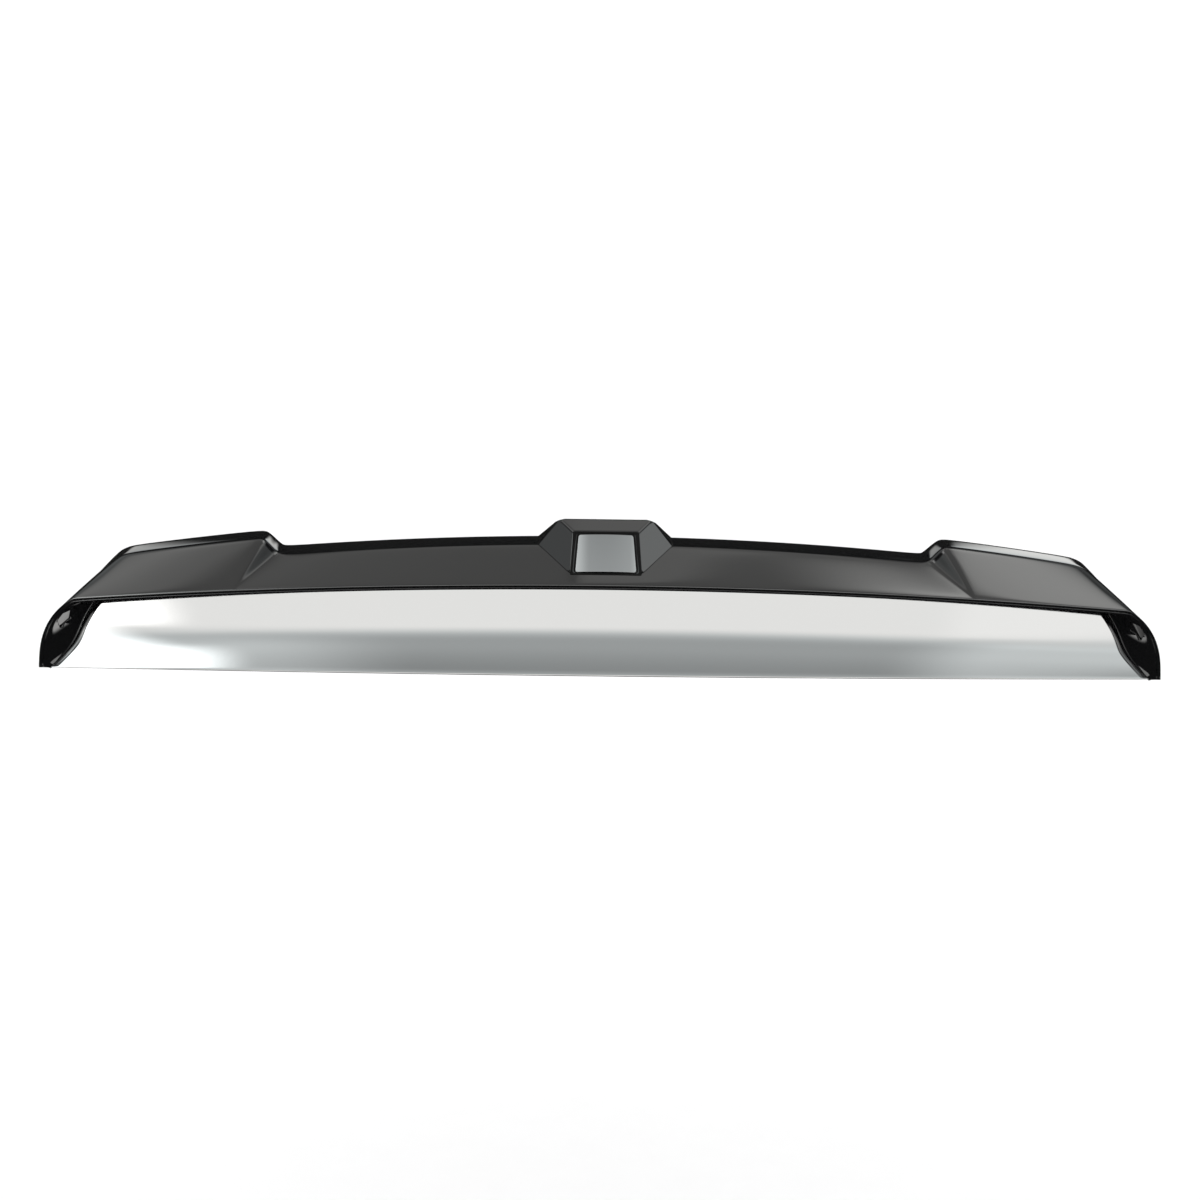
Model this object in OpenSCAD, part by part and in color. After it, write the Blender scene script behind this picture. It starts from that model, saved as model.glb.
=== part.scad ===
// Roof spoiler for a tailgate: a raised-wing blade over a recessed lower wall and a skirt.
// Millimetres. +X runs across the car, +Y forward over the roof, +Z up. The rear faces -Y.
// The origin is under the middle of the part's box, level with the two ear tips.

/* [Plan] */
// Width across the two ear tips
span = 1240; // [1160:10:1320]
// How far the rear edges curve forward at the ear tips
rear_bow = 40; // [20:1:60]
// How far the front edge curves forward at its ends
front_bow = 14; // [4:1:24]
// Half the width of the deck at its crest
deck_half = 539; // [500:1:545]
// Half the width of the lip, where the ears begin
lip_half = 577; // [570:1:585]
// Half the width of the front edge
front_half = 552; // [530:1:560]
// Depth from the bottom edge of the skirt to the front edge, at the middle
front_y = 195; // [180:1:220]

/* [Heights at the middle] */
// Height of the skirt's bottom edge over the ear tips
edge_z = 4; // [2:0.5:6]
// Height of the crease between the skirt and the wall
crease_z = 50; // [44:1:54]
// Height of the lip's lower corner
lip_z = 100; // [94:1:104]
// Height of the lip's rear face
lip_height = 6.5; // [6:0.1:8]
// Height of the brow, where the rear face meets the top band
brow_z = 144; // [140:1:150]
// Height of the crest, where the top band meets the deck
crest_z = 149.5; // [147:0.5:156]
// Height of the deck's front edge
front_z = 121; // [116:1:126]

/* [Crowns: how far each line drops at the full half span] */
// Drop of the skirt's bottom edge
edge_crown = 4; // [2:0.5:6]
// Drop of the crease
crease_crown = 24; // [16:1:28]
// Drop of the lip
lip_crown = 30.5; // [24:0.5:36]
// Drop of the brow and the crest
top_crown = 52.5; // [44:0.5:60]
// Drop of the front edge
front_crown = 34; // [28:1:40]

/* [Depths behind and ahead of the skirt's bottom edge] */
// How far the lip stands out behind the bottom edge
lip_out = 8; // [4:1:12]
// Depth of the crease at the middle
crease_y = 21; // [17:1:26]
// Depth of the crease at the ends
crease_y_end = 14; // [11:1:18]
// Depth of the wall's deepest line, under the lip
wall_y = 30; // [28:1:36]
// Depth of the brow
brow_y = 41; // [36:1:46]
// Depth of the crest
crest_y = 71; // [66:1:78]
// How far the ceiling under the lip rises from the lip to the wall
ceiling_rise = 4; // [2:0.5:6]
// Half the width of the wall at its top
wall_half = 554; // [548:1:560]
// Half the width of the crease
crease_half = 580; // [574:1:586]
// Half the width of the skirt's bottom edge
edge_half = 603; // [598:1:606]
// Half the width of the pan at its back
pan_rear = 576; // [566:1:578]
// Half the width of the pan at its front
pan_front = 536; // [520:1:538]
// How far the pan drops below the deck before its front flange
pan_depth = 16; // [12:1:20]

/* [Raised wings] */
// How far each wing stands above the middle section, at its inner end
wing_lift = 19.5; // [12:0.5:24]
// How much less it stands above it at its outer end
wing_taper = 2.5; // [0:0.5:4]
// Where the step up to the wing begins, from the middle
step_x = 354; // [320:1:370]
// Width of the step at the brow
step_run = 25; // [20:1:34]
// How much further out the step lies at the lip than at the brow
step_sweep = 45; // [40:1:56]
// Width that is left of the step at the lip
step_foot = 4; // [3:0.5:8]

/* [Walls and joints] */
// Thickness of the moulded walls
wall = 2.8; // [2.4:0.1:3]
// Width of each ear's rear rim at its tip
ear_rim = 7.8; // [7.2:0.1:9]
// Gap filled by adhesive between the two shells
bond_gap = 0.5; // [0.3:0.1:0.8]
// Radius along the lip's upper edge
lip_r = 3.4; // [3.2:0.1:4]
// Half width of the soft fold at the other edges
fold = 1.6; // [1.2:0.1:2.4]
// Clearance between a loose piece and its seat
seat_gap = 0.3; // [0.2:0.05:0.4]

/* [Camera pod] */
// Half the width of the pod where it meets the brow
pod_half = 75; // [66:1:84]
// Half the width of the pod's top edge
pod_top_half = 51; // [46:1:56]
// Height of the pod's top edge
pod_z = 172; // [168:1:178]
// Depth of the pod's top edge
pod_y = 40; // [36:1:44]
// Depth at which the pod's roof runs out on the deck
pod_nose_y = 148; // [136:1:156]
// Half the width of the pod's nose
pod_nose_half = 30; // [24:1:40]
// Depth of the window panel's foot
window_foot_y = 4; // [2:0.5:7]
// Depth of the window panel's head
window_head_y = 24; // [21:0.5:27]
// Height of the window panel's head
window_head_z = 160; // [156:0.5:163]
// Half the width of the panel at its foot
panel_foot_half = 39; // [36:0.5:42]
// Half the width of the panel at its head
panel_head_half = 36; // [33:0.5:38]
// Width of the pod's border at each side of the gasket
border = 4.4; // [3:0.1:5]
// Height of the pod's border over and under the gasket
border_end = 2; // [1.6:0.1:3]
// Width of the gasket that shows
gasket_w = 1.4; // [1:0.1:2.4]
// Radius at the window's corners
window_r = 3; // [2:0.5:5]
// Thickness of the window
window_t = 3; // [2:0.5:4]

/* [Mounting hardware] */
// Distance of the inner studs from the middle
stud_inner = 150; // [120:10:180]
// Distance of the outer studs from the middle
stud_outer = 430; // [400:10:450]
// Distance of the locating pins from the middle
pin_x = 290; // [260:10:320]
// Distance of the retaining clips from the middle
clip_x = 505; // [485:5:510]
// Diameter of the stud's shank
stud_d = 6; // [5:1:8]
// Plain length of the shank below the washer
stud_plain = 8; // [6:1:12]
// Threaded length of the shank
stud_thread = 14; // [10:1:20]
// Diameter of the locating pins
pin_d = 8; // [6:1:10]
// Length of the locating pins below their collars
pin_length = 12; // [8:1:16]
// Thickness of the foam washers
washer_t = 4; // [3:0.5:6]
// Width of the rubber seal under the front flange
seal_w = 12; // [9:1:14]
// Height of the rubber seal
seal_h = 7; // [5:0.5:9]

/* [Hidden] */
half = span / 2;
gloss_black = "#101114";
smoke = "#6f7478";
rubber_black = "#1d1e1f";
zinc = "#b9bdbd";
natural = "#d9d6c8";

function share(x) = pow(x / half, 2);
function smooth(t) = let (c = min(1, max(0, t))) c * c * (3 - 2 * c);
function bezier(a, b, c, t) = (1 - t) * (1 - t) * a + 2 * t * (1 - t) * b + t * t * c;
function along(a, b, d) = a + (b - a) * d / norm(b - a);
function reversed(list) = [for (i = [len(list) - 1:-1:0]) list[i]];
function mirrored(p) = [-p[0], p[1], p[2]];
function bow(x) = rear_bow * share(x);
mid_y = (front_y + front_bow - lip_out) / 2;

// The step's place at the lip follows its place at the brow
function lip_x(x) = let (a = abs(x), end = step_x + step_run)
    sign(x) * (a < step_x ? a * (step_x + step_sweep) / step_x
        : a < end ? step_x + step_sweep + (a - step_x) * step_foot / step_run
        : lip_half - (deck_half - a) * (lip_half - step_x - step_sweep - step_foot) / (deck_half - end));
function taper(x) = max(0, abs(x) - step_x - step_run) / (deck_half - step_x - step_run);
function lift(x) = (wing_lift - wing_taper * taper(x)) * smooth((abs(x) - step_x) / step_run);
corner_run = 16;
corner_drop = 3.4;
function soften(x) = corner_drop * pow(max(0, abs(x) - deck_half + corner_run) / corner_run, 2);
function top_drop(x) = lift(x) - soften(x) - top_crown * share(x);

// The lines that the surfaces run between, each at a distance x along the crest
function front_line(x) = let (w = x * front_half / deck_half)
    [w, front_y + front_bow * share(w), front_z - front_crown * share(w)];
function crest_line(x) = [x, crest_y + bow(x), crest_z + top_drop(x)];
function brow_line(x) = [x, brow_y + bow(x), brow_z + top_drop(x)];
function lip_line(x) = let (w = lip_x(x)) [w, bow(w) - lip_out, lip_z + lip_height - lip_crown * share(w)];
function seam_line(x) = lip_line(x) - [0, 0, (lip_height - bond_gap) / 2];

// One section of the upper shell, from the front edge over the crest to the seam in the lip
deck_steps = [1, 0.75, 0.5, 0.25];
deck_pull = [0, 40, -5.6];
function deck_curve(c, f, t) = bezier(c, c + deck_pull, f, t);
function deck_point(x, t) = deck_curve(crest_line(x), front_line(x), t);
lip_turn = lip_r * tan(26);
function upper_section(x) = let (c = crest_line(x), b = brow_line(x), l = lip_line(x), s = seam_line(x))
    concat([for (t = deck_steps) deck_point(x, t)],
        [along(c, deck_point(x, 0.1), fold), along(c, b, fold), along(b, c, fold), along(b, l, fold),
            (b + l) / 2, along(l, b, lip_turn), l + [0, lip_turn * 0.42, -lip_turn * 0.36],
            along(l, s, lip_turn), s]);

// The side of each ear hangs from the end section and ends on a lower edge from the tip to the front corner
tip = [half, rear_bow, 0];
side_turn_in = 14;
side_turn_ahead = 65;
side_turn_z = 32;
side_turn = [half - side_turn_in, rear_bow + side_turn_ahead, side_turn_z];
corner_out = 4;
corner_low = 8;
front_corner = [front_half + corner_out, front_y + front_bow, front_z - front_crown - corner_low];
side_share = [1, 0.86, 0.72, 0.58, 0.47, 0.45, 0.35, 0.33, 0.17, 0.02, 0.01, 0, 0];
rim_out = 1;
rim_up = 0.44;
rim_split = 0.64;
side_out = [0, 0.08, 0.16, 0.24, 0.28, 0.3, 0.34, 0.36, 0.6, 0.9, rim_out, rim_out, rim_out];
side_up = [0, 0.08, 0.16, 0.24, 0.28, 0.3, 0.34, 0.36, 0.4, rim_up, rim_up, rim_up, rim_up];
function bulged(top, foot, out, up, s) = let (middle = (top + foot) / 2)
    bezier(top, middle + [out * (foot[0] - middle[0]), 0, up * (top[2] - middle[2])], foot, s);
function side_foot(i) = bezier(tip, side_turn, front_corner, side_share[i])
    - (i == len(side_share) - 1 ? [ear_rim * rim_split - bond_gap / 2, 0, 0] : [0, 0, 0]);
function side_point(i, top, s) = bulged(top, side_foot(i), side_out[i], side_up[i], s);

mid_steps = 8;
wing_steps = 4;
half_stations = concat([for (i = [1:mid_steps]) step_x * i / mid_steps],
    [for (i = [1:5]) step_x + step_run * i / 5],
    [for (i = [1:wing_steps]) step_x + step_run + (deck_half - corner_run - step_x - step_run) * i / wing_steps],
    [deck_half - corner_run / 2, deck_half]);
side_steps = [0.04, 0.2, 0.4, 0.6, 0.8, 1];

function upper_half() = let (end = upper_section(deck_half))
    concat([for (x = half_stations) upper_section(x)],
        [for (s = side_steps) [for (i = [0:len(end) - 1]) side_point(i, end[i], s)]]);
function whole(right, middle) = concat(
    [for (s = reversed(right)) [for (p = s) mirrored(p)]], [middle], right);

// A moulded wall: the seen face is a grid of points, and the back is set in along its normals
function cell_normal(g, j, i) = let (
        u = g[min(j + 1, len(g) - 1)][i] - g[max(j - 1, 0)][i],
        v = g[j][min(i + 1, len(g[0]) - 1)] - g[j][max(i - 1, 0)],
        n = cross(v, u))
    n / norm(n);
function pair(a, b, c, d) = [[a, b, c], [a, c, d]];
module sheet(g, t) {
    columns = len(g);
    rows = len(g[0]);
    back = [for (j = [0:columns - 1]) [for (i = [0:rows - 1]) g[j][i] - t * cell_normal(g, j, i)]];
    function at(side, j, i) = (side * columns + j) * rows + i;
    rim = concat([for (i = [0:rows - 1]) [0, i]], [for (j = [1:columns - 1]) [j, rows - 1]],
        [for (i = [rows - 2:-1:0]) [columns - 1, i]], [for (j = [columns - 2:-1:1]) [j, 0]]);
    polyhedron(
        points = [for (side = [g, back]) for (column = side) for (p = column) p],
        faces = concat(
            [for (j = [0:columns - 2]) for (i = [0:rows - 2])
                each pair(at(0, j, i), at(0, j + 1, i), at(0, j + 1, i + 1), at(0, j, i + 1))],
            [for (j = [0:columns - 2]) for (i = [0:rows - 2])
                each pair(at(1, j, i), at(1, j, i + 1), at(1, j + 1, i + 1), at(1, j + 1, i))],
            [for (k = [0:len(rim) - 1]) let (a = rim[k], b = rim[(k + 1) % len(rim)])
                each pair(at(0, a[0], a[1]), at(0, b[0], b[1]), at(1, b[0], b[1]), at(1, a[0], a[1]))]),
        convexity = 10);
}

// A solid drawn through flat outlines, one after the other
module drawn(g) {
    n = len(g[0]);
    last = (len(g) - 1) * n;
    polyhedron(points = [for (o = g) for (p = o) p], convexity = 4,
        faces = concat([[for (i = [0:n - 1]) i]], [[for (i = [n - 1:-1:0]) last + i]],
            [for (j = [0:len(g) - 2]) for (i = [0:n - 1]) let (a = j * n, b = (i + 1) % n)
                each pair(a + i, a + n + i, a + n + b, a + b)]));
}

// The hood of the recess: the underside of the lip and the inner faces of the ears, out to the seam
function edge_line(x) = [x, bow(x), edge_z - edge_crown * share(x)];
function crease_line(x) = [x, bow(x) + crease_y - (crease_y - crease_y_end) * share(x),
    crease_z - crease_crown * share(x)];
function ceiling_line(x) = [x, bow(x) + wall_y, lip_z + ceiling_rise - lip_crown * share(x)];
wall_power = 1.7;
function wall_point(a, t) = let (x = a * (crease_half + (wall_half - crease_half) * pow(t, wall_power)),
        c = crease_line(x), w = ceiling_line(x))
    bezier(c, [x, c[1] + 0.55 * (w[1] - c[1]), c[2] + 0.45 * (w[2] - c[2])], w, t);
function skirt_point(a, t) = let (x = a * (edge_half + (crease_half - edge_half) * t))
    edge_line(x) + t * (crease_line(x) - edge_line(x));
crease_at = 0.74;
function corner_point(s) = s < crease_at ? wall_point(1, 1 - s / crease_at)
    : skirt_point(1, 1 - (s - crease_at) / (1 - crease_at));
function past(a, b, d) = b + (b - a) * d / norm(b - a);
bury = wall / 2;
edge_r = 1.2;
function hood_section(x) = let (l = lip_line(x), low = l - [0, 0, lip_height],
        deep = ceiling_line(l[0] * wall_half / lip_half))
    [l - [0, 0, (lip_height + bond_gap) / 2], low + [0, 0, edge_r], low + [0, edge_r, 0], (low + deep) / 2,
        past(low, deep, bury)];
function rim_point(s, top_in, foot_in) =
    bulged(lip_line(deck_half) - [0, 0, top_in], tip - [foot_in, 0, 0], rim_out, rim_up, s);
function ear_section(s) = let (low = rim_point(s, lip_height, ear_rim), deep = corner_point(s))
    [rim_point(s, (lip_height + bond_gap) / 2, ear_rim * rim_split + bond_gap / 2),
        rim_point(s, lip_height - edge_r, ear_rim - edge_r), along(low, deep, edge_r), (low + deep) / 2,
        past(low, deep, bury)];
hood_stations = [for (i = [1:12]) deck_half * i / 12];
ear_steps = side_steps;
module hood() {
    sheet(whole(concat([for (x = hood_stations) hood_section(x)], [for (s = ear_steps) ear_section(s)]),
        hood_section(0)), wall);
}

// A shallow five-sided pocket in the upper part of each ear: shares along the rim and in from it
pocket_corners = [[0.18, 0.29], [0.35, 0.43], [0.5, 0.31], [0.38, 0.08], [0.24, 0.08]];
pocket_middle = [0.33, 0.24];
pocket_depth = 1;
function ear_spot(q) = let (low = rim_point(q[0], lip_height, ear_rim)) low + q[1] * (corner_point(q[0]) - low);
module ear_pocket() {
    n = cross(ear_spot(pocket_middle + [0, 0.1]) - ear_spot(pocket_middle),
        ear_spot(pocket_middle + [0.1, 0]) - ear_spot(pocket_middle));
    out = n / norm(n);
    middle = ear_spot(pocket_middle);
    base = [for (q = pocket_corners) let (p = ear_spot(q)) p - out * ((p - middle) * out + pocket_depth)];
    drawn([base, [for (p = base) p + out * 3 * pocket_depth]]);
}

// The wall at the back of the recess and the skirt below it
function rear_section(a) = concat(
    [wall_point(a, 1) + [0, 0, bury]],
    [for (t = [0.8, 0.55, 0.3, 0.1]) wall_point(a, t)],
    [for (t = [0.88, 0.5, 0]) skirt_point(a, t)]);
rear_stations = [for (i = [1:14]) i < 14 ? i / 14 : 1 + bury / wall_half];
rear_grid = whole([for (a = rear_stations) rear_section(a)], rear_section(0));
foot_row = len(rear_grid[0]) - 1;
ground = wall * cell_normal(rear_grid, 0, foot_row)[2] - rear_grid[0][foot_row][2];
module rear_wall() {
    sheet(rear_grid, wall);
}

// The pan that closes the hollow from below and carries the studs
function under_deck(x, t) = deck_curve(crest_line(x) - [0, 0, lift(x)], front_line(x), t);
function pan_edge(x) = under_deck(x, 0.97) - [0, 0, 2 * wall + bond_gap + 0.2];
function pan_flange(x) = under_deck(x, 0.78) - [0, 0, 2 * wall + bond_gap + 1.4];
pan_step = (pan_rear + 2 * pan_front) / 3;
function pan_section(x) = let (
        r = wall_point(x * pan_rear / pan_front / crease_half, 0.1) + [0, bury, 0],
        e = pan_edge(x), f = pan_flange(x),
        k = [x * pan_step / pan_front, f[1] - 8, f[2] - pan_depth])
    [r, r + 0.33 * (k - r), r + 0.66 * (k - r), k, f, e];
pan_stations = concat([for (x = half_stations) if (x < pan_front - 5) x], [pan_front]);
module pan() {
    sheet(whole([for (x = pan_stations) pan_section(x)], pan_section(0)), wall);
}

module placed() {
    translate([0, -mid_y, ground]) children();
}

// The pod: a faceted housing whose lower corners lie just under the skin
pod_sink = 1;
pod_wall = [1.6, -1.4, 3.2];
function face_z(y) = let (l = lip_line(0), b = brow_line(0)) l[2] + (b[2] - l[2]) * (y - l[1]) / (b[1] - l[1]);
window_foot = [0, window_foot_y, face_z(window_foot_y) - pod_sink];
pod_right = [window_foot + [panel_foot_half, 0, 0], [panel_head_half, window_head_y, window_head_z],
    [pod_top_half, pod_y, pod_z], brow_line(pod_half) - [0, 0, pod_sink], crest_line(pod_half) - [0, 0, pod_sink],
    [pod_nose_half, pod_nose_y, deck_point(0, 0.7)[2] - pod_sink]];
pod_faces = let (k = len(pod_right)) [[0, 1, 1 + k, k], [1, 2, 2 + k, 1 + k], [2, 5, 5 + k, 2 + k], [0, k, 5 + k, 5],
    [0, 3, 2], [0, 2, 1], [3, 4, 2], [4, 5, 2], [0, 5, 4], [0, 4, 3],
    [2 + k, 3 + k, k], [1 + k, 2 + k, k], [2 + k, 4 + k, 3 + k], [2 + k, 5 + k, 4 + k],
    [4 + k, 5 + k, k], [3 + k, 4 + k, k]];
module pod_form(inset) {
    right = [for (p = pod_right) p - inset];
    polyhedron(points = concat(right, [for (p = right) mirrored(p)]),
        faces = [for (f = pod_faces) reversed(f)]);
}

// The window lies in the pod's rear facet; its outline is a trapezoid with rounded corners
window_rise = window_head_z - window_foot[2];
window_run = window_head_y - window_foot_y;
window_tilt = atan2(window_rise, window_run);
panel_height = norm([window_rise, window_run]);
frame_side = border + gasket_w;
frame_end = border_end + gasket_w;
arc_steps = 6;
quarter = 90;
function rounded(foot, head, low, high, r) = [
    for (c = [[foot - r, low + r, -1], [head - r, high - r, 0], [r - head, high - r, 1], [r - foot, low + r, 2]])
        for (k = [0:arc_steps]) let (turn = quarter * (c[2] + k / arc_steps))
            [c[0] + r * cos(turn), c[1] + r * sin(turn)]];
module window_form(grow, from, to) {
    translate(window_foot) rotate([window_tilt, 0, 0]) translate([0, 0, from]) linear_extrude(to - from)
        polygon(rounded(panel_foot_half - frame_side + grow, panel_head_half - frame_side + grow, frame_end - grow,
            panel_height - frame_end + grow, window_r + grow));
}
window_sink = 0.6;
gasket_proud = 0.5;
gasket_lap = 1;
opening_grow = gasket_w + seat_gap;

// Bosses, collars and pins stand on the pan at a share t of the way from the wall to the front flange
stud_t = 0.62;
clip_t = 0.4;
pan_slope = 24;
stud_r = stud_d / 2;
boss_r = stud_d * 2;
clip_boss_r = 9;
clip_hole_r = 4.2;
function pan_spot(x, t) = let (s = pan_section(x * pan_front / (pan_rear + t * (pan_step - pan_rear))))
    [x, (s[0] + t * (s[3] - s[0]))[1], (s[0] + t * (s[3] - s[0]))[2]];
function boss_low(x, t, r) = pan_spot(x, t) - [0, 0, r * tan(pan_slope) + 2];
function boss_height(r) = 2 * r * tan(pan_slope) + 2 + wall / cos(pan_slope) + 1;
function both(list) = concat([for (x = list) -x], list);
floor_t = 4;
rest_gap = 0.05;
module boss(x, t, r) {
    translate(boss_low(x, t, r)) cylinder(h = boss_height(r), r = r);
}
module boss_cup(x, t, r, hole_r) {
    translate(boss_low(x, t, r)) {
        translate([0, 0, floor_t]) cylinder(h = boss_height(r), r = r - wall);
        translate([0, 0, -1]) cylinder(h = floor_t + 2, r = hole_r);
    }
}
module locating_pin(x) {
    collar_r = pin_d / 2 + 4;
    translate(boss_low(x, stud_t, collar_r)) {
        cylinder(h = boss_height(collar_r) - 2, r = collar_r);
        rotate([180, 0, 0]) rotate_extrude()
            polygon([[0, -2], [pin_d / 2, -2], [pin_d / 2, pin_length], [pin_d / 2 - 2, pin_length + 4], [0, pin_length + 4]]);
    }
}

module upper_shell() {
    color(gloss_black) placed() difference() {
        union() {
            sheet(whole(upper_half(), upper_section(0)), wall);
            pod_form([0, 0, 0]);
        }
        pod_form(pod_wall);
        window_form(opening_grow, -2 * wall, wall);
    }
}

module lower_shell() {
    color(gloss_black) placed() difference() {
        union() {
            hood();
            rear_wall();
            pan();
            for (x = both([stud_inner, stud_outer])) boss(x, stud_t, boss_r);
            for (x = both([clip_x])) boss(x, clip_t, clip_boss_r);
            for (x = both([pin_x])) locating_pin(x);
        }
        for (x = both([stud_inner, stud_outer])) boss_cup(x, stud_t, boss_r, neck_r + seat_gap);
        for (x = both([clip_x])) boss_cup(x, clip_t, clip_boss_r, clip_hole_r);
        for (side = [0, 1]) mirror([side, 0, 0]) ear_pocket();
    }
}

module pod_window() {
    color(smoke) placed() window_form(0, -window_sink - window_t, -window_sink);
}

// The gasket grips the window's edge in a groove
module window_gasket() {
    color(rubber_black) placed() difference() {
        window_form(gasket_w, -window_sink - window_t - gasket_lap, gasket_proud);
        window_form(seat_gap / 3, -window_sink - window_t - seat_gap / 3, -window_sink + seat_gap / 3);
        window_form(0, -window_sink, gasket_proud + 1);
        window_form(-gasket_lap, -window_sink - window_t - 2 * gasket_lap, -window_sink);
    }
}

// Studs: a disc in the boss, a neck through its floor and the washer, and a threaded shank
neck_r = stud_r + stud_d / 15;
disc_t = stud_d / 3;
neck_length = floor_t + washer_t + 1;
thread_pitch = stud_d / 6;
thread_depth = 0.4;
module stud() {
    plain_end = neck_length + stud_plain;
    turns = floor(stud_thread / thread_pitch);
    rotate([180, 0, 0]) rotate_extrude() polygon(concat(
        [[0, -disc_t], [boss_r - wall - seat_gap, -disc_t], [boss_r - wall - seat_gap, 0], [neck_r, 0],
            [neck_r, neck_length], [stud_r, neck_length], [stud_r, plain_end]],
        [for (i = [0:turns - 1]) each [[stud_r - thread_depth, plain_end + (i + 0.35) * thread_pitch],
            [stud_r - thread_depth, plain_end + (i + 0.55) * thread_pitch],
            [stud_r, plain_end + (i + 0.9) * thread_pitch], [stud_r, plain_end + (i + 1) * thread_pitch]]],
        [[stud_r - 1, plain_end + turns * thread_pitch + 1], [0, plain_end + turns * thread_pitch + 1]]));
}
module mount_studs() {
    color(zinc) placed() for (x = both([stud_inner, stud_outer]))
        translate(boss_low(x, stud_t, boss_r) + [0, 0, floor_t + rest_gap]) stud();
}

module foam_washers() {
    color(rubber_black) placed() for (x = both([stud_inner, stud_outer]))
        translate(boss_low(x, stud_t, boss_r) - [0, 0, washer_t + rest_gap]) difference() {
            cylinder(h = washer_t, r = boss_r - stud_d / 6);
            translate([0, 0, -1]) cylinder(h = washer_t + 2, r = neck_r + seat_gap);
        }
}

// Clips: a head in the boss and a barbed shank that is pushed into the panel
clip_head_t = 1.6;
clip_barbs = 4;
barb_pitch = 3.2;
module clip() {
    neck = clip_hole_r - 0.6;
    start = floor_t + 2;
    rotate([180, 0, 0]) rotate_extrude() polygon(concat(
        [[0, -clip_head_t], [clip_boss_r - wall - seat_gap, -clip_head_t], [clip_boss_r - wall - seat_gap, 0],
            [neck, 0], [neck, start]],
        [for (i = [0:clip_barbs - 1]) each [[neck + 1, start + i * barb_pitch + 0.4],
            [neck + 1, start + i * barb_pitch + 1], [neck - 1, start + (i + 1) * barb_pitch - 0.6],
            [neck - 1, start + (i + 1) * barb_pitch]]],
        [[1.2, start + clip_barbs * barb_pitch + 3], [0, start + clip_barbs * barb_pitch + 3]]));
}
module retaining_clips() {
    color(natural) placed() for (x = both([clip_x]))
        translate(boss_low(x, clip_t, clip_boss_r) + [0, 0, floor_t + rest_gap]) clip();
}

// The front seal: a rubber half round along the underside of the front flange
seal_half = 500;
seal_arc = 8;
function seal_outline(x) = let (f = pan_flange(x), e = pan_edge(x), d = (e - f) / norm(e - f), n = [0, d[2], -d[1]],
        c = (f + e) / 2 + seat_gap * n)
    [for (k = [0:seal_arc]) c - d * seal_w / 2 * cos(180 * k / seal_arc) + n * seal_h * sin(180 * k / seal_arc)];
module front_seal() {
    color(rubber_black) placed()
        drawn(whole([for (x = pan_stations) if (x <= seal_half) seal_outline(x)], seal_outline(0)));
}

upper_shell();
lower_shell();
pod_window();
window_gasket();
mount_studs();
foam_washers();
retaining_clips();
front_seal();
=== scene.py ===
# %% [markdown]
# # A roof spoiler for a tailgate, in gloss black
# The part is a wide moulded blade with raised wings, a faceted camera pod in the middle and a
# recessed wall and skirt under its lip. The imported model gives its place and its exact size.
# This lesson rebuilds the painted skins as smooth surfaces, because polished black shows every
# small facet, and it gives the small hardware better finishes.

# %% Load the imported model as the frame
import math

import bmesh
import bpy
from mathutils import Matrix, Vector


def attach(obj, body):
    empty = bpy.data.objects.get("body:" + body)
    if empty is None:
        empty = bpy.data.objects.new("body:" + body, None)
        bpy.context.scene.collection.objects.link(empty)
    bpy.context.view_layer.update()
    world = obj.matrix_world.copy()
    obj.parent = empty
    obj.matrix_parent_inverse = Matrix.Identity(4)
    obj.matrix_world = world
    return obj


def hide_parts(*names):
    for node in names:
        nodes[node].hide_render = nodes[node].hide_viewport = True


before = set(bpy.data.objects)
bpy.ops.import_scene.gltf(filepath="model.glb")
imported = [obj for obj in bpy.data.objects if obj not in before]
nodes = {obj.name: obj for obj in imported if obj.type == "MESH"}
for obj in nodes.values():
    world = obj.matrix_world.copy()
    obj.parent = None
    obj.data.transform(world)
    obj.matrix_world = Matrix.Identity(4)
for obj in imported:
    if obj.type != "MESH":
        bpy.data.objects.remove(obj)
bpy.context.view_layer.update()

# %% [markdown]
# ## The camera
# The photograph was taken from behind the part with a long lens, a little above it and a little to
# its left. The camera's place was fitted to the outline of the part: its distance sets how much the
# near edges spread, its height sets how much of the deck's band shows, and a small roll levels it.

# %% Camera
target = Vector((0.0, -0.0405, 0.0791))
camera_distance = 2.3
pitch, yaw, roll = math.radians(9.0), math.radians(1.51), math.radians(0.91)
toward_camera = Vector((-math.sin(yaw) * math.cos(pitch), -math.cos(yaw) * math.cos(pitch),
                        math.sin(pitch)))
aim_shift = Vector((-0.0045, 0.0, 0.0011))


def in_scene(name, data):
    """An object that holds the data and is linked to the scene."""
    thing = bpy.data.objects.new(name, data)
    bpy.context.scene.collection.objects.link(thing)
    return thing


lens_data = bpy.data.cameras.new("photo_camera")
lens_data.sensor_width = 36.0
lens_data.lens = 62.28
camera = in_scene("photo_camera", lens_data)
camera.location = target + camera_distance * toward_camera
turn = (target + aim_shift - camera.location).to_track_quat("-Z", "Y").to_matrix()
camera.rotation_euler = (turn @ Matrix.Rotation(roll, 3, "Z")).to_euler()
bpy.context.scene.camera = camera
print("camera at", [round(c, 3) for c in camera.location])

# %% [markdown]
# ## Measures and small helpers
# A car maker draws such a part from a few long lines across the car: the front edge, the crest, the
# brow, the lip, the crease and the bottom edge. Each is a flat curve that drops towards the ends.
# The same lines in millimetres, as in the part's source, are written here as functions of x.

# %% Helpers for curves in millimetres
half = 620.0
mid_y, ground = 100.5, 1.094
wall = 2.8


def vec(x, y, z):
    return Vector((x, y, z))


def placed(p):
    """A point of the drawing, in metres and in the frame."""
    return Vector((p[0], p[1] - mid_y, p[2] + ground)) / 1000


def share(x):
    return (x / half) ** 2


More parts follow.
